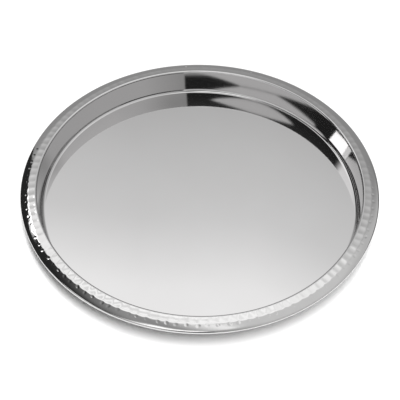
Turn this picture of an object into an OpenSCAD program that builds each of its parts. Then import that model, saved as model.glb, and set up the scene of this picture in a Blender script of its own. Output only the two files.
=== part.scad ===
// Round bar tray in polished steel sheet: a drawn pan with a steep wall and a narrow lip, a hammered
// border ring let into a step in the pan's flange, and a stiffening wire rolled into the outer edge.
// Millimetres, +Z up, origin at the centre of the underside.

/* [Tray] */
// Outside diameter over the rolled edge
tray_d = 355.6; // [300:0.1:420]
// Depth from the serving floor up to the lip
depth = 27; // [15:0.5:50]
// Width of the rim, from the top of the wall to the outside
rim_w = 16.6; // [15.5:0.1:22]

/* [Pan] */
// Thickness of the pan's sheet
pan_t = 0.7; // [0.5:0.05:1]
// Lean of the wall from upright, in degrees
wall_lean = 4.5; // [2:0.5:12]
// Inside radius where the wall meets the floor
floor_r = 5; // [3:0.5:8]
// Radius over the bend where the wall turns out into the lip
lip_r = 1.2; // [1.1:0.1:1.5]
// Straight of the lip between its bend and the step that the border sits in
lip_flat = 0.1; // [0:0.1:1]

/* [Border] */
// Thickness of the border's sheet
border_t = 0.7; // [0.5:0.05:1]
// Width of the hammered band, from the top of the wall to the crease
band_w = 8.7; // [8:0.1:10]
// Fall of the band towards the outside, in degrees
band_fall = 5.5; // [3:0.5:8]
// Fall of the smooth slope outside the crease, in degrees
slope_fall = 19; // [14:0.5:22]
// Radius over the crease between the band and the slope
crease_r = 10; // [4:0.5:14]
// Gap left between parts that are pressed together
seam_gap = 0.05; // [0.02:0.01:0.1]

/* [Edge wire] */
// Diameter of the wire in the rolled edge
wire_d = 1.5; // [1.2:0.1:2.2]
// Clearance round the wire inside the roll
wire_gap = 0.2; // [0.15:0.05:0.4]
// Gap between the two butted ends of the wire
wire_butt = 0.6; // [0.2:0.1:2]

/* [Hammer marks] */
// Diameter of a mark
mark_d = 7.6; // [5:0.1:8]
// Depth of a mark
mark_depth = 0.12; // [0.06:0.02:0.2]
// Smooth ridge left between two marks
mark_ridge = 1.25; // [0.6:0.05:3]
// Smooth margin left between the marks and the inner edge of the border
mark_margin = 0.3; // [0.1:0.1:0.6]

/* [Hidden] */
$fn = 180;
chord_miss = 0.01;

// Radii of the main circles of the tray
out_r = tray_d / 2;
wall_top_r = out_r - rim_w;
lip_z = pan_t + depth;

// Bend at the top of the wall, and the step that the border sits in
lip_c = [wall_top_r + lip_r, lip_z - lip_r];
step_r = lip_c[0] + lip_r * sin(band_fall) + lip_flat + pan_t;
border_in_r = step_r + seam_gap;

// Corner at the floor: the wall leans out from it and runs up to the bend
wall_run = (lip_c[1] - pan_t - floor_r) * tan(wall_lean) + (lip_r + floor_r) / cos(wall_lean);
floor_c = [lip_c[0] - wall_run, pan_t + floor_r];

// Height of a line that lies a given depth under the band's skin, which runs on from the lip's bend
function band_z(x, deep) = lip_c[1] + (lip_r - deep - (x - lip_c[0]) * sin(band_fall)) / cos(band_fall);

// Crease where the band turns down into the slope
crease_x = wall_top_r + band_w - crease_r * sin((band_fall + slope_fall) / 2);
crease_c = [crease_x, band_z(crease_x, crease_r)];

// Height of a line that lies a given depth under the slope's skin
function slope_z(x, deep) =
    crease_c[1] + (crease_r - deep - (x - crease_c[0]) * sin(slope_fall)) / cos(slope_fall);

// Rolled edge: the roll touches the slope's skin from within, and its end tucks up under the flange
wire_r = wire_d / 2;
roll_in = wire_r + wire_gap;
roll_out = roll_in + border_t;
wire_x = out_r - roll_out;
wire_c = [wire_x, slope_z(wire_x, roll_out)];
roll_turn = 270 + asin((roll_in - pan_t - 2 * seam_gap) / roll_out);

// Flange of the pan: it lies under the border and stops short of the wire
flange_top = border_t + seam_gap;
flange_under = flange_top + pan_t;

// Hammer marks: one row of round dishes along the band, their outer ends breaking the crease
mark_r = border_in_r + mark_margin + mark_d / 2;
marks = floor(2 * PI * mark_r / (mark_d + mark_ridge));
face_r = (mark_d / 2)^2 / (2 * mark_depth);

// Points along an arc, close enough together that the outline stays within chord_miss of it
function arc(centre, r, from, to) =
    let (steps = ceil(abs(to - from) / (2 * acos(1 - chord_miss / r))))
    [for (i = [0:steps]) let (a = from + (to - from) * i / steps) centre + r * [cos(a), sin(a)]];

// Turn from the band to the slope, a given depth under the skin
function crease(deep) = arc(crease_c, crease_r - deep, 90 - band_fall, 90 - slope_fall);

// Point at the end of the flange, a given depth under the skin
function flange_end(deep) =
    wire_c + (roll_out - deep) * [sin(slope_fall), cos(slope_fall)]
    - roll_in * [cos(slope_fall), -sin(slope_fall)];

// The same points in the opposite order
function back(points) = [for (i = [len(points) - 1:-1:0]) points[i]];

module tray_pan() {
    skin = concat(
        [[0, pan_t]],
        arc(floor_c, floor_r, 270, 360 - wall_lean),
        arc(lip_c, lip_r, 180 - wall_lean, 90 - band_fall),
        [[step_r, band_z(step_r, 0)], [step_r, band_z(step_r, flange_top)]],
        crease(flange_top),
        [flange_end(flange_top)]
    );
    inner_r = step_r - pan_t;
    underside = concat(
        [flange_end(flange_under)],
        back(crease(flange_under)),
        [[inner_r, band_z(inner_r, flange_under)], [inner_r, band_z(inner_r, pan_t)]],
        arc(lip_c, lip_r - pan_t, 90 - band_fall, 180 - wall_lean),
        arc(floor_c, floor_r + pan_t, 360 - wall_lean, 270),
        [[0, 0]]
    );
    color("gainsboro") rotate_extrude() polygon(concat(skin, underside));
}

// Rounded face of the hammer, as far as it goes into the sheet and a little wider
module hammer_face() {
    translate([mark_r, 0, band_z(mark_r, mark_depth)]) rotate([0, band_fall, 0]) rotate_extrude()
        intersection() {
            translate([0, face_r]) circle(face_r);
            square([(mark_d + mark_margin) / 2, 2 * mark_depth]);
        }
}

module hammered_border() {
    roll_end = 90 - slope_fall - roll_turn;
    sheet = concat(
        [[border_in_r, band_z(border_in_r, 0)]],
        crease(0),
        arc(wire_c, roll_out, 90 - slope_fall, roll_end),
        arc(wire_c, roll_in, roll_end, 90 - slope_fall),
        back(crease(border_t)),
        [[border_in_r, band_z(border_in_r, border_t)]]
    );
    color("silver") difference() {
        rotate_extrude() polygon(sheet);
        for (i = [0:marks - 1]) rotate(i * 360 / marks) hammer_face();
    }
}

module edge_wire() {
    butt_deg = 2 * asin(wire_butt / 2 / wire_c[0]);
    color("slategray") rotate(butt_deg / 2) rotate_extrude(angle = 360 - butt_deg)
        translate(wire_c) circle(wire_r);
}

tray_pan();
hammered_border();
edge_wire();
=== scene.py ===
import math
import random

import bpy
import numpy as np
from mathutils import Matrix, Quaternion, Vector


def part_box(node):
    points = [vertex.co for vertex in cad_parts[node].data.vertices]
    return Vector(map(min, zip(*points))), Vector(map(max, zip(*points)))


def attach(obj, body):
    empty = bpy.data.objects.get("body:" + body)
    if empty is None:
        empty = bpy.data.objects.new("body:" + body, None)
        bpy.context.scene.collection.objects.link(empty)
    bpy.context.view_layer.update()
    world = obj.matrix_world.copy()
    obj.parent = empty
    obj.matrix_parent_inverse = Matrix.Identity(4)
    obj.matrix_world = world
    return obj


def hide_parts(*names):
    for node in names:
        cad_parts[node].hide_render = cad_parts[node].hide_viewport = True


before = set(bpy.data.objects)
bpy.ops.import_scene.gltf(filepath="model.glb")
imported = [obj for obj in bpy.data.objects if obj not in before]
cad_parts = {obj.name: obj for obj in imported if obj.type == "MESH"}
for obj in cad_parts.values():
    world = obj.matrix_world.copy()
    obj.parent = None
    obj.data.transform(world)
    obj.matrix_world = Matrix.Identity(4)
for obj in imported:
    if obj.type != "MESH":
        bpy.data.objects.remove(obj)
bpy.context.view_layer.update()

MM = 0.001

# Driving sizes of the tray in millimetres and degrees. The outside and the top come from the
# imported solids.
OUT_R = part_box("hammered_border")[1][0] / MM
LIP_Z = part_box("tray_pan")[1][2] / MM
RIM_W = 16.6
PAN_T = 0.7
WALL_LEAN = 4.5
LIP_R = 1.2
LIP_FLAT = 0.1
BORDER_T = 0.7
BAND_W = 8.7
BAND_FALL = 5.5
SLOPE_FALL = 19.0
CREASE_R = 10.0
SEAM_GAP = 0.05
WIRE_R = 0.75
WIRE_GAP = 0.2

# Fine shape of the pressed sheet: the corner at the floor is tight, the wall flares a little, the
# lip is eased, the slope is full and the shoulder of the roll is flattened.
FLOOR_R = 3.4
WALL_FLARE = 0.16
LIP_EASE = 0.7
SLOPE_FULL = 0.13
SHOULDER_FLAT = 0.85
SHOULDER_END = 50.0

# Two rows of hammer marks: dishes across the band, and dents between them just over the crease.
# Each has its shift along the row, distance out from the wall's top, width, length, depth and
# softness, then how far a mark strays in turn, distance, width, length, depth and slant.
MARKS = 118
MARK_SEED = 23
MARK_REACH = 17.0
MARK_ROWS = (
    (
        (0.0, 4.7, 8.5, 9.6, 0.12, 0.03),
        ((-0.12, 0.12), (-0.3, 0.3), (0.92, 1.08), (0.92, 1.08), (0.75, 1.2), (-0.12, 0.12)),
    ),
    (
        (0.5, BAND_W + 1.6, 3.6, 3.6, 0.13, 0.012),
        ((-0.14, 0.14), (-0.5, 0.4), (0.8, 1.15), (0.8, 1.1), (0.35, 1.2), (-0.25, 0.25)),
    ),
)

# Fineness of the meshes: columns round the axis, rows along each run of the section, and the
# distance from a run's end at which a row keeps the shading flat.
PAN_COLUMNS = 640
COLUMNS_PER_MARK = 18
CORNER_STEPS = 28
LIP_STEPS = 20
LIP_BACK_STEPS = 10
FLANGE_STEPS = 6
ROLL_STEPS = 52
ROLL_BACK_STEPS = 16
WALL_PARTS = 14
WALL_BACK_PARTS = 4
BAND_ROWS = 15
CREASE_ROWS = 8
SLOPE_ROWS = 17
FLOOR_RINGS = (0.02, 0.2, 0.4, 0.6, 0.8, 0.94)
UNDER_RINGS = (0.06, 0.2, 0.4, 0.6, 0.8, 0.98)
SUPPORT = 0.12

# Height below the top over which hands have dulled the polish, in millimetres.
HANDLED = 3.0

# Edges that bend more than this many degrees are shaded sharp.
PAN_SHARP = 40
BORDER_SHARP = 50
BOARD_SHARP = 30

# The floor of the studio, in metres: half its width, and how far it lies under the tray.
BOARD_HALF = 9.0
BOARD_DROP = 0.0002

# Share of light that the steel mirrors; the room is brighter by as much.
STEEL_SHARE = 0.67
# Light that the room gives to anything but the mirror finish.
ROOM_FILL = 0.03

# Places in the room: degrees from the horizon to overhead, and turns on a compass on which 0 and
# 1 are the left and 0.5 the right.
OVERHEAD = 90.0
FRONT = 0.25
BACK = 0.75

# Lamps aimed at the tray: place, width and length in metres, power, and whether the steel shows it.
LAMPS = {
    "floor_light": ((0.64, -2.4, 8.8), 2.4, 7.6, 1280.0, False),
    "table_lamp": ((-0.526, 0.341, 0.589), 0.19, 0.105, 0.138, True),
    "pale_card": ((-0.458, 0.446, 0.587), 0.06, 0.1, 0.0217, True),
}

# Camera fitted to the tray's circles, in millimetres of film, degrees and metres.
FILM_W = 36.0
LENS = 89.68
CAMERA_RISE = 48.383
CAMERA_ROLL = 0.96
CAMERA_AWAY = 1.0
CAMERA_AIM = (0.00024, -0.01386, 0.014)


def lean(degrees):
    """Outward direction of a sheet that falls by an angle, as (sideways, up)."""
    return math.sin(math.radians(degrees)), math.cos(math.radians(degrees))


# Places worked out from the sizes above, as (distance from the axis, height).
WALL_TOP_R = OUT_R - RIM_W
LIP_C = (WALL_TOP_R + LIP_R, LIP_Z - LIP_R)
STEP_R = LIP_C[0] + LIP_R * lean(BAND_FALL)[0] + LIP_FLAT + PAN_T
BORDER_IN_R = STEP_R + SEAM_GAP
WALL_TAN = math.tan(math.radians(WALL_LEAN))
WALL_RUN = (LIP_C[1] - PAN_T - FLOOR_R) * WALL_TAN + (LIP_R + FLOOR_R) / lean(WALL_LEAN)[1]
FLOOR_C = (LIP_C[0] - WALL_RUN, PAN_T + FLOOR_R)
CREASE_X = WALL_TOP_R + BAND_W - CREASE_R * lean((BAND_FALL + SLOPE_FALL) / 2)[0]


def band_z(x, deep):
    """Height of a line a depth under the band's skin, which runs on from the lip's bend."""
    aside, up = lean(BAND_FALL)
    return LIP_C[1] + (LIP_R - deep - (x - LIP_C[0]) * aside) / up


CREASE_C = (CREASE_X, band_z(CREASE_X, CREASE_R))


def slope_z(x, deep):
    """Height of a line that lies a depth under the slope's skin."""
    aside, up = lean(SLOPE_FALL)
    return CREASE_C[1] + (CREASE_R - deep - (x - CREASE_C[0]) * aside) / up


ROLL_IN = WIRE_R + WIRE_GAP
ROLL_OUT = ROLL_IN + BORDER_T
WIRE_C = (OUT_R - ROLL_OUT, slope_z(OUT_R - ROLL_OUT, ROLL_OUT))
ROLL_TURN = 270 + math.degrees(math.asin((ROLL_IN - PAN_T - 2 * SEAM_GAP) / ROLL_OUT))
ROLL_START = 90 - SLOPE_FALL
ROLL_END = ROLL_START - ROLL_TURN
FLANGE_TOP = BORDER_T + SEAM_GAP
FLANGE_UNDER = FLANGE_TOP + PAN_T


def flange_end(deep):
    """End of the pan's flange, a depth under the skin, just short of the wire."""
    aside, up = lean(SLOPE_FALL)
    return (
        WIRE_C[0] + (ROLL_OUT - deep) * aside - ROLL_IN * up,
        WIRE_C[1] + (ROLL_OUT - deep) * up + ROLL_IN * aside,
    )


def grey(level):
    """A grey as a colour."""
    return (level, level, level, 1.0)


class Shade:
    """A socket of a shader, with arithmetic that adds Math nodes."""

    def __init__(self, tree, socket=None):
        self.tree = tree
        self.socket = socket

    def make(self, kind, settings=None, sockets=None, out=0):
        """A new node: its settings first, then the values or links of its sockets."""
        node = self.tree.nodes.new(kind)
        for name, value in (settings or {}).items():
            if name == "stops":
                ramp = node.color_ramp.elements
                while len(ramp) < len(value):
                    ramp.new(1.0)
                for stop, (place, level) in zip(ramp, value):
                    stop.position = place
                    stop.color = grey(level)
            else:
                setattr(node, name, value)
        for name, value in (sockets or {}).items():
            if isinstance(value, Shade):
                self.tree.links.new(value.socket, node.inputs[name])
            else:
                node.inputs[name].default_value = value
        return Shade(self.tree, node.outputs[out] if len(node.outputs) else None)

    def maths(self, operation, *values):
        """A Math node on values and sockets."""
        return self.make("ShaderNodeMath", {"operation": operation}, dict(enumerate(values)))

    def __add__(self, other):
        return self.maths("ADD", self, other)

    def __sub__(self, other):
        return self.maths("SUBTRACT", self, other)

    def __mul__(self, other):
        return self.maths("MULTIPLY", self, other)

    def __truediv__(self, other):
        return self.maths("DIVIDE", self, other)

    def __pow__(self, other):
        return self.maths("POWER", self, other)

    def __radd__(self, other):
        return self.maths("ADD", other, self)

    def __rsub__(self, other):
        return self.maths("SUBTRACT", other, self)

    def __rmul__(self, other):
        return self.maths("MULTIPLY", other, self)

    def __rtruediv__(self, other):
        return self.maths("DIVIDE", other, self)

    def rise(self, start, end, low=0.0, high=1.0):
        """Eases from low at start to high at end."""
        return self.make(
            "ShaderNodeMapRange",
            {"interpolation_type": "SMOOTHSTEP"},
            {"Value": self, "From Min": start, "From Max": end, "To Min": low, "To Max": high},
        )

    def greys(self, *stops):
        """Greys along this value, as stops of (place from 0 to 1, grey)."""
        return self.make("ShaderNodeValToRGB", {"stops": stops}, {"Fac": self})

    def split(self):
        """The three parts of a vector."""
        parts = self.make("ShaderNodeSeparateXYZ", None, {0: self})
        outs = parts.socket.node.outputs
        return [Shade(self.tree, outs[i]) for i in range(3)]

    def join(self, x, y, z):
        """A vector from its three parts."""
        return self.make("ShaderNodeCombineXYZ", None, {0: x, 1: y, 2: z})

    def blend(self, first, second, share):
        """Colour between two colours."""
        return self.make(
            "ShaderNodeMix", {"data_type": "RGBA"}, {0: share, 6: first, 7: second}, out=2
        )

    def noise(self, where, scale, detail=2.0, rough=0.5):
        """Soft random greys over a place."""
        return self.make(
            "ShaderNodeTexNoise",
            None,
            {"Vector": where, "Scale": scale, "Detail": detail, "Roughness": rough},
        )


def finish_on(name):
    """A new material, its shader, its main node and the place on the tray."""
    material = bpy.data.materials.new(name)
    material.use_nodes = True
    tree = material.node_tree
    surface = tree.nodes["Principled BSDF"]
    shade = Shade(tree)
    place = shade.make("ShaderNodeTexCoord", out="Object")
    return material, shade, surface, place


def feed(surface, socket, value):
    """Links a shader's value to a socket of the main node."""
    value.tree.links.new(value.socket, surface.inputs[socket])


def bare_metal(surface, colour, roughness, relief, strength, distance):
    """Metal with a colour, a roughness and a fine relief."""
    feed(surface, "Base Color", colour)
    surface.inputs["Metallic"].default_value = 1.0
    feed(surface, "Roughness", roughness)
    heights = {"Strength": strength, "Distance": distance, "Height": relief}
    feed(surface, "Normal", relief.make("ShaderNodeBump", None, heights))


def turned_lines(shade, place, across, around, detail, rough):
    """Fine lines that run round the axis."""
    x, y, z = place.split()
    radius = (x * x + y * y) ** 0.5
    angle = y.maths("ARCTAN2", y, x)
    where = shade.join(radius * across, angle * around, z * across)
    return shade.noise(where, 1.0, detail, rough)


def polished_steel():
    """Mirror-polished sheet: wiped haze, turned buffing lines and a little handling on the lip."""
    material, s, surface, place = finish_on("polished_steel")
    wiped = s.noise(place, scale=14.0, detail=3.0, rough=0.55)
    lines = turned_lines(s, place, across=2600.0, around=3.0, detail=2.0, rough=0.6)
    handled = place.split()[2].rise((LIP_Z - HANDLED) * MM, LIP_Z * MM)
    colour = s.blend((0.66, 0.652, 0.65, 1), (0.69, 0.686, 0.688, 1), wiped)
    roughness = 0.03 + 0.02 * wiped + 0.012 * lines + 0.02 * handled
    bare_metal(surface, colour, roughness, lines, strength=0.012, distance=0.0002)
    return material


def satin_steel():
    """Underside of the pan: left satin from the press, with drawn lines and light rubbing."""
    material, s, surface, place = finish_on("satin_underside")
    worn = s.noise(place, scale=9.0, detail=4.0, rough=0.6)
    lines = turned_lines(s, place, across=1900.0, around=5.0, detail=3.0, rough=0.65)
    colour = s.blend((0.52, 0.515, 0.51, 1), (0.62, 0.615, 0.612, 1), worn)
    roughness = 0.2 + 0.08 * worn + 0.08 * lines
    bare_metal(surface, colour, roughness, lines, strength=0.08, distance=0.0002)
    return material


def hammered_steel():
    """Hammered border: polish that varies from blow to blow, and the grain of the hammer's face."""
    material, s, surface, place = finish_on("hammered_steel")
    grain = s.noise(place, scale=520.0)
    struck = s.noise(place, scale=60.0)
    colour = s.blend((0.64, 0.634, 0.632, 1), (0.7, 0.696, 0.694, 1), struck)
    roughness = 0.035 + 0.03 * struck + 0.02 * grain
    bare_metal(surface, colour, roughness, grain, strength=0.03, distance=0.0003)
    return material


def wire_steel():
    """Drawn wire: dull grey with fine lines along its length."""
    material, s, surface, place = finish_on("wire_steel")
    lines = turned_lines(s, place, across=6000.0, around=8.0, detail=3.0, rough=0.6)
    colour = s.blend((0.4, 0.395, 0.39, 1), (0.56, 0.555, 0.55, 1), lines)
    roughness = 0.28 + 0.16 * lines
    bare_metal(surface, colour, roughness, lines, strength=0.2, distance=0.0001)
    return material


def pale_board():
    """Plain white board that the tray lies on."""
    material, s, surface, place = finish_on("pale_board")
    fibres = s.noise(place, scale=300.0, detail=3.0)
    feed(surface, "Base Color", s.blend(grey(0.9), grey(0.93), fibres))
    surface.inputs["Roughness"].default_value = 0.9
    surface.inputs["Specular IOR Level"].default_value = 0.0
    return material


def arc(centre, radius, start, end, steps):
    """Points along an arc in the section, angles in degrees up from the outward direction."""
    turns = np.radians(np.linspace(start, end, steps + 1))
    return [(centre[0] + radius * math.cos(a), centre[1] + radius * math.sin(a)) for a in turns]


def between(start, end, shares):
    """Points at shares of the way from start to end."""
    x, z = start
    run, climb = end[0] - x, end[1] - z
    return [(x + run * t, z + climb * t) for t in shares]


def straight(start, end, parts):
    """Points inside a straight run, with one close to each end so that the shading stays flat."""
    run = math.dist(start, end)
    shares = [SUPPORT / run] + [k / parts for k in range(1, parts)] + [1 - SUPPORT / run]
    return between(start, end, shares)


def turned(outline, columns):
    """Points of an outline turned round the axis, one column after another, in metres."""
    around = np.linspace(0, 2 * math.pi, columns, endpoint=False)
    section = np.array(outline) * MM
    points = np.empty((columns, len(outline), 3))
    points[:, :, 0] = np.outer(np.cos(around), section[:, 0])
    points[:, :, 1] = np.outer(np.sin(around), section[:, 0])
    points[:, :, 2] = section[:, 1]
    return points


def ring_faces(columns, rows, closed):
    """Quads between neighbouring columns; closed joins an outline's last row to its first."""
    last = rows if closed else rows - 1
    faces = []
    for j in range(columns):
        here = j * rows
        there = (j + 1) % columns * rows
        for i in range(last):
            k = (i + 1) % rows
            faces.append((here + i, here + k, there + k, there + i))
    return faces


def piece(name, points, faces, sharp_over):
    """A new smooth mesh with sharp edges where it bends by more than an angle."""
    mesh = bpy.data.meshes.new(name)
    mesh.from_pydata(points, [], faces)
    mesh.polygons.foreach_set("use_smooth", [True] * len(mesh.polygons))
    mesh.set_sharp_from_angle(angle=math.radians(sharp_over))
    obj = bpy.data.objects.new(name, mesh)
    bpy.context.collection.objects.link(obj)
    return obj


def eased_lip():
    """Bend at the top of the wall with a larger radius, still touching the wall and the band."""
    wall_in, wall_up = -lean(WALL_LEAN)[1], lean(WALL_LEAN)[0]
    band_out, band_up = lean(BAND_FALL)
    both = wall_in * band_up - wall_up * band_out
    centre = (
        LIP_C[0] - LIP_EASE * (band_up - wall_up) / both,
        LIP_C[1] - LIP_EASE * (wall_in - band_out) / both,
    )
    return arc(centre, LIP_R + LIP_EASE, 180 - WALL_LEAN, 90 - BAND_FALL, LIP_STEPS)


def flared(start, end):
    """Points up the wall, which leans out a little more towards its top."""
    aside, up = lean(WALL_LEAN)
    wall = []
    for x, z in straight(start, end, WALL_PARTS):
        share = (z - start[1]) / (end[1] - start[1])
        bulge = 4 * WALL_FLARE * share * (1 - share)
        wall.append((x - bulge * up, z + bulge * aside))
    return wall


def pan_section():
    """Outline of the pan from its middle out to the flange and back underneath, in two parts."""
    corner = arc(FLOOR_C, FLOOR_R, 270, 360 - WALL_LEAN, CORNER_STEPS)
    bend = eased_lip()
    skin = (
        between((0, PAN_T), (FLOOR_C[0], PAN_T), FLOOR_RINGS)
        + [(FLOOR_C[0] - SUPPORT, PAN_T)]
        + corner
        + flared(corner[-1], bend[0])
        + bend
        + [(STEP_R, band_z(STEP_R, 0))]
    )
    inner_r = STEP_R - PAN_T
    band_turn, slope_turn = 90 - BAND_FALL, 90 - SLOPE_FALL
    lip_back = arc(LIP_C, LIP_R - PAN_T, band_turn, 180 - WALL_LEAN, LIP_BACK_STEPS)
    corner_back = arc(FLOOR_C, FLOOR_R + PAN_T, 360 - WALL_LEAN, 270, CORNER_STEPS)
    hidden = (
        [(STEP_R, band_z(STEP_R, FLANGE_TOP))]
        + arc(CREASE_C, CREASE_R - FLANGE_TOP, band_turn, slope_turn, FLANGE_STEPS)
        + [flange_end(FLANGE_TOP), flange_end(FLANGE_UNDER)]
        + arc(CREASE_C, CREASE_R - FLANGE_UNDER, slope_turn, band_turn, FLANGE_STEPS)
        + [(inner_r, band_z(inner_r, FLANGE_UNDER)), (inner_r, band_z(inner_r, PAN_T))]
        + lip_back
        + straight(lip_back[-1], corner_back[0], WALL_BACK_PARTS)
        + corner_back
        + [(FLOOR_C[0] - SUPPORT, 0)]
        + between((FLOOR_C[0], 0), (0, 0), UNDER_RINGS)
    )
    return skin, hidden


def make_pan():
    """The drawn pan: serving floor, steep wall, lip, step and flange, as one closed skin."""
    skin, hidden = pan_section()
    outline = skin + hidden
    rows = len(outline)
    points = turned(outline, PAN_COLUMNS).reshape(-1, 3).tolist()
    faces = ring_faces(PAN_COLUMNS, rows, False)
    middle_top = len(points)
    points += [(0, 0, PAN_T * MM), (0, 0, 0)]
    for j in range(PAN_COLUMNS):
        there = (j + 1) % PAN_COLUMNS * rows
        faces.append((middle_top, j * rows, there))
        faces.append((j * rows + rows - 1, middle_top + 1, there + rows - 1))
    pan = piece("tray_pan_sheet", points, faces, PAN_SHARP)
    pan.data.materials.append(polished_steel())
    pan.data.materials.append(satin_steel())
    # The step, the flange and the underside are satin, with every second face at the middle.
    satin = np.zeros(len(faces), dtype=np.int32)
    per_column = rows - 1
    for j in range(PAN_COLUMNS):
        satin[j * per_column + len(skin) : (j + 1) * per_column] = 1
    satin[PAN_COLUMNS * per_column + 1 :: 2] = 1
    pan.data.polygons.foreach_set("material_index", satin)
    return pan


def hammer_marks():
    """Each mark's turn, distance out, half width, half length, depth, slant and softness."""
    rng = random.Random(MARK_SEED)
    pitch = 2 * math.pi / MARKS
    marks = []
    for (shift, out, width, length, depth, soft), strays in MARK_ROWS:
        for k in range(MARKS):
            turn, aside, wider, longer, deeper, slant = [rng.uniform(*stray) for stray in strays]
            marks.append(
                (
                    (k + shift + turn) * pitch,
                    WALL_TOP_R + out + aside,
                    width / 2 * wider,
                    length / 2 * longer,
                    depth * deeper,
                    slant,
                    soft,
                )
            )
    return marks


def struck_depth(around, out, path):
    """Depth of the marks over a grid of turns round the rim and places along its skin."""
    turn, along_skin = np.meshgrid(around, path, indexing="ij")
    depth = np.zeros_like(turn)
    for at, mid, half_w, half_len, deep, slant, soft in hammer_marks():
        off = (turn - at + math.pi) % (2 * math.pi) - math.pi
        near = np.abs(off) * mid < MARK_REACH
        over = along_skin[near] - np.interp(mid, out, path)
        along = off[near] * mid - slant * over
        bowl = deep * (1 - (along / half_w) ** 2 - (over / half_len) ** 2)
        depth[near] += soft * np.logaddexp(0, bowl / soft)
    return depth


def border_skin():
    """Section of the border's skin from its inner edge to the roll, with the fall at each point."""
    turn_in = CREASE_C[0] + CREASE_R * lean(BAND_FALL)[0]
    turn_out = CREASE_C[0] + CREASE_R * lean(SLOPE_FALL)[0]
    roll_at = WIRE_C[0] + ROLL_OUT * lean(SLOPE_FALL)[0]

    def full(x):
        """Height that the slope's fullness adds, at most SLOPE_FULL two thirds of the way out."""
        share = (x - turn_in) / (roll_at - turn_in)
        return 6.75 * SLOPE_FULL * share * share * (1 - share)

    band = np.linspace(BORDER_IN_R, turn_in, BAND_ROWS)[:-1]
    skin = [(x, band_z(x, 0), BAND_FALL) for x in band]
    for fall in np.linspace(BAND_FALL, SLOPE_FALL, CREASE_ROWS):
        aside, up = lean(fall)
        reach = CREASE_R + full(CREASE_C[0] + CREASE_R * aside)
        skin.append((CREASE_C[0] + reach * aside, CREASE_C[1] + reach * up, fall))
    for x in np.linspace(turn_out, roll_at, SLOPE_ROWS)[1:]:
        skin.append((x, slope_z(x, -full(x)), SLOPE_FALL))
    return np.array(skin)


def rolled_skin():
    """Outside of the roll from the slope to its tucked end, with a flattened shoulder."""
    half = (SHOULDER_END - SLOPE_FALL) / 2
    eased = []
    for x, z in arc(WIRE_C, ROLL_OUT, ROLL_START, ROLL_END, ROLL_STEPS):
        out, up = x - WIRE_C[0], z - WIRE_C[1]
        off = math.degrees(math.atan2(out, up)) - SLOPE_FALL - half
        chord = lean(half)[1] / lean(off)[1] if abs(off) < half else 1.0
        share = 1 - SHOULDER_FLAT * (1 - chord)
        eased.append((WIRE_C[0] + out * share, WIRE_C[1] + up * share))
    return eased


def make_border():
    """The hammered border ring: sheet with struck marks, its edge rolled round the wire."""
    columns = MARKS * COLUMNS_PER_MARK
    skin = border_skin()
    rows_struck = len(skin)
    outline = (
        [(x, z) for x, z, _ in skin]
        + rolled_skin()[1:]
        + arc(WIRE_C, ROLL_IN, ROLL_END, ROLL_START, ROLL_BACK_STEPS)
        + arc(CREASE_C, CREASE_R - BORDER_T, 90 - SLOPE_FALL, 90 - BAND_FALL, FLANGE_STEPS)
        + [(BORDER_IN_R, band_z(BORDER_IN_R, BORDER_T))]
    )
    points = turned(outline, columns)
    around = np.linspace(0, 2 * math.pi, columns, endpoint=False)
    steps = np.hypot(np.diff(skin[:, 0]), np.diff(skin[:, 1]))
    path = np.concatenate([[0.0], np.cumsum(steps)])
    depth = struck_depth(around, skin[:, 0], path)
    fall = np.radians(skin[:, 2])
    out = skin[:, 0] - depth * np.sin(fall)
    points[:, :rows_struck, 0] = out * np.cos(around)[:, None] * MM
    points[:, :rows_struck, 1] = out * np.sin(around)[:, None] * MM
    points[:, :rows_struck, 2] = (skin[:, 1] - depth * np.cos(fall)) * MM
    faces = ring_faces(columns, len(outline), True)
    points = points.reshape(-1, 3).tolist()
    border = piece("hammered_border_ring", points, faces, BORDER_SHARP)
    border.data.materials.append(hammered_steel())
    return border


def make_board():
    """The pale floor of the studio."""
    half = BOARD_HALF
    points = [(-half, -half, 0), (half, -half, 0), (half, half, 0), (-half, half, 0)]
    board = piece("studio_floor", points, [(0, 1, 2, 3)], BOARD_SHARP)
    board.location.z = -BOARD_DROP
    board.data.materials.append(pale_board())
    return board


def back_wall(s, turn, height):
    """Back wall, grey below and brighter up to the window, whose foot is lower towards the left."""
    off_back = turn - BACK
    level = off_back.maths("MAXIMUM", off_back.maths("MINIMUM", off_back, 0.015), -0.015)
    lifted = height + 70.0 * (off_back - level)
    wall = (lifted / OVERHEAD).greys(
        (0.0, 0.235),
        (0.28, 0.24),
        (0.345, 0.27),
        (0.41, 0.32),
        (0.478, 0.4),
        (0.511, 0.48),
        (0.556, 0.57),
        (0.589, 0.73),
        (0.6, 0.79),
        (0.645, 0.82),
        (0.72, 0.92),
        (0.78, 0.95),
        (0.86, 0.85),
        (0.94, 0.76),
        (1.0, 0.6),
    )
    # Two bars across the high part of the window, which the hammer marks break up.
    for bar_at in (61.5, 66.5):
        bar = lifted.maths("ABSOLUTE", lifted - bar_at).rise(0.4, 2.0, 1.0, 0.0)
        wall = s.blend(wall, grey(0.6), bar * turn.rise(0.735, 0.775, 0.4, 0.8))
    return wall


def side_walls(s, turn, height):
    """Plain grey walls to the right and in front."""
    low = turn.greys((0.27, 0.3), (0.3, 0.36), (0.36, 0.45), (0.45, 0.46), (0.6, 0.43))
    high = turn.greys((0.28, 0.29), (0.32, 0.32), (0.38, 0.45), (0.45, 0.52), (0.6, 0.53))
    return s.blend(low, high, height.rise(42.0, 54.0))


def table_edge(s, room, turn, height):
    """Low edge round the table: white in front, dark to the right."""
    low = height.rise(20.5, 25.0, 1.0, 0.0)
    room = s.blend(room, grey(0.07), low * turn.rise(0.6, 0.66, 1.0, 0.0))
    in_white = turn.rise(0.04, 0.08) * turn.rise(0.25, 0.29, 1.0, 0.0)
    return s.blend(room, grey(1.25), low * in_white)


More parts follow.
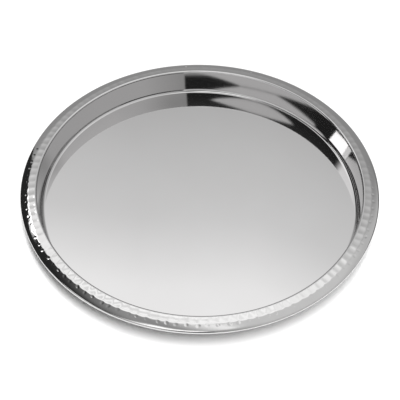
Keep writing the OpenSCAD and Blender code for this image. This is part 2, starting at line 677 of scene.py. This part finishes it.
def cloth_in_front(turn):
    """Share of the black cloth in front, which ends just right of the middle."""
    return turn.rise(0.2805, 0.2835, 1.0, 0.0)


def black_cloth(s, room, turn, height):
    """Black cloth to the left and the front left, fading to grey overhead."""
    cloth = (height / OVERHEAD).greys(
        (0.0, 0.016),
        (0.56, 0.018),
        (0.62, 0.03),
        (0.67, 0.065),
        (0.71, 0.126),
        (0.77, 0.2),
        (0.82, 0.26),
        (0.9, 0.33),
        (0.96, 0.45),
        (1.0, 0.6),
    )
    edge = height.rise(26.0, 36.0, 0.0095, 0.0) + height.rise(39.0, 41.0, 0.839, 0.903)
    edge = edge - height.rise(43.5, 46.5, 0.0, 0.02)
    hem = height.rise(36.0, 50.0, 0.004, 0.03)
    on_left = ((turn - edge) / hem).rise(-0.5, 0.5) * height.rise(4.0, 6.0)
    in_front = cloth_in_front(turn) * height.rise(29.7, 31.2)
    return s.blend(room, cloth, on_left + in_front)


def ceiling(s, room, x, y, turn, height):
    """Grey ceiling with one soft bright strip that runs from the front right to the back left."""
    across = 0.9 * x + 0.43 * y
    strip = (across / 0.6 + 0.5).greys(
        (0.08, 0.2),
        (0.29, 0.26),
        (0.39, 0.38),
        (0.5, 0.6),
        (0.567, 0.76),
        (0.635, 0.83),
        (0.7, 0.62),
        (0.77, 0.54),
        (0.95, 0.5),
    )
    room = s.blend(room, strip, height.rise(72.0, 80.0))
    # Light that spills down from the ceiling over the cloth in front.
    spill = height.rise(57.0, 63.0) * height.rise(74.0, 80.0, 1.0, 0.0)
    spill = spill * turn.rise(0.06, 0.12) * turn.rise(0.24, 0.3, 1.0, 0.0)
    return s.blend(room, grey(1.15), spill)


def cloth_panels(s, room, turn, height):
    """Two panels in the cloth: the lower one waisted from both ends, the upper one a lens."""
    waist_at, lens_at = 34.0, 52.0
    tilt = height + 17.0 * (turn - FRONT)
    left_end = turn.maths("MAXIMUM", 0.105 - turn, 0.0)
    wedge = turn.maths("MAXIMUM", (turn - 0.175) * 56.0, left_end * 30.0)
    off_waist = height.maths("ABSOLUTE", height - waist_at - 20.0 * left_end)
    low_panel = (off_waist - wedge).rise(-0.4, 0.6)
    low_panel = low_panel * tilt.rise(40.5, 42.0, 1.0, 0.0) * turn.rise(0.0, 0.012)
    off_mid = (turn - 0.132) / 0.099
    lens = 3.3 - 3.3 * off_mid * off_mid
    high_panel = (lens - height.maths("ABSOLUTE", height - lens_at)).rise(-0.4, 0.6)
    panels = low_panel.maths("MAXIMUM", low_panel, high_panel) * cloth_in_front(turn)
    return s.blend(room, grey(0.52), panels)


def studio():
    """The room round the table as light by direction, seen only in the mirror finish."""
    world = bpy.data.worlds.new("studio")
    bpy.context.scene.world = world
    world.use_nodes = True
    world.cycles.sampling_method = "NONE"
    tree = world.node_tree
    tree.nodes.clear()
    s = Shade(tree)
    x, y, z = s.make("ShaderNodeTexCoord", out="Generated").split()
    turn = y.maths("ARCTAN2", y, x) / (2 * math.pi) + 0.5
    height = z.maths("ARCSINE", z) * (180 / math.pi)
    sides = side_walls(s, turn, height)
    room = s.blend(sides, back_wall(s, turn, height), turn.rise(0.598, 0.645))
    room = table_edge(s, room, turn, height)
    room = black_cloth(s, room, turn, height)
    room = ceiling(s, room, x, y, turn, height)
    room = cloth_panels(s, room, turn, height)
    # The camera sees plain white past the floor's edge.
    path = tree.nodes.new("ShaderNodeLightPath")
    seen = Shade(tree, path.outputs["Is Camera Ray"])
    mirrored = Shade(tree, path.outputs["Is Glossy Ray"])
    colour = s.blend(s.blend(grey(ROOM_FILL), room, mirrored), grey(STEEL_SHARE), seen)
    light = s.make("ShaderNodeBackground", None, {"Color": colour, "Strength": 1 / STEEL_SHARE})
    s.make("ShaderNodeOutputWorld", None, {0: light})


def soft_box(name, place, width, length, power, mirrored):
    """A soft lamp that either shows in the mirror finish or only lights the floor."""
    data = bpy.data.lights.new(name, "AREA")
    data.shape = "RECTANGLE"
    data.size = width
    data.size_y = length
    data.energy = power
    lamp = bpy.data.objects.new(name, data)
    lamp.location = place
    lamp.rotation_mode = "QUATERNION"
    lamp.rotation_quaternion = Vector(place).to_track_quat("Z", "Y")
    lamp.visible_glossy = mirrored
    lamp.visible_diffuse = not mirrored
    lamp.visible_camera = False
    bpy.context.collection.objects.link(lamp)


def photo_camera():
    """Camera above and in front of the tray, at the photograph's angle."""
    data = bpy.data.cameras.new("photo_camera")
    data.sensor_width = FILM_W
    data.lens = LENS
    camera = bpy.data.objects.new("photo_camera", data)
    aim = Vector(CAMERA_AIM)
    rise = math.radians(CAMERA_RISE)
    up = aim.z + CAMERA_AWAY * math.sin(rise)
    place = Vector((0.0, -CAMERA_AWAY * math.cos(rise), up))
    roll = Quaternion((0, 0, 1), math.radians(CAMERA_ROLL))
    camera.location = place
    camera.rotation_mode = "QUATERNION"
    camera.rotation_quaternion = (place - aim).to_track_quat("Z", "Y") @ roll
    bpy.context.collection.objects.link(camera)
    bpy.context.scene.camera = camera


photo_camera()
studio()
for lamp_name, lamp_values in LAMPS.items():
    soft_box(lamp_name, *lamp_values)
bpy.context.scene.view_settings.view_transform = "Standard"

pan = make_pan()
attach(pan, "root")
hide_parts("tray_pan")

border = make_border()
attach(border, "root")
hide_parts("hammered_border")

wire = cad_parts["edge_wire"]
wire.data.materials.clear()
wire.data.materials.append(wire_steel())

board = make_board()
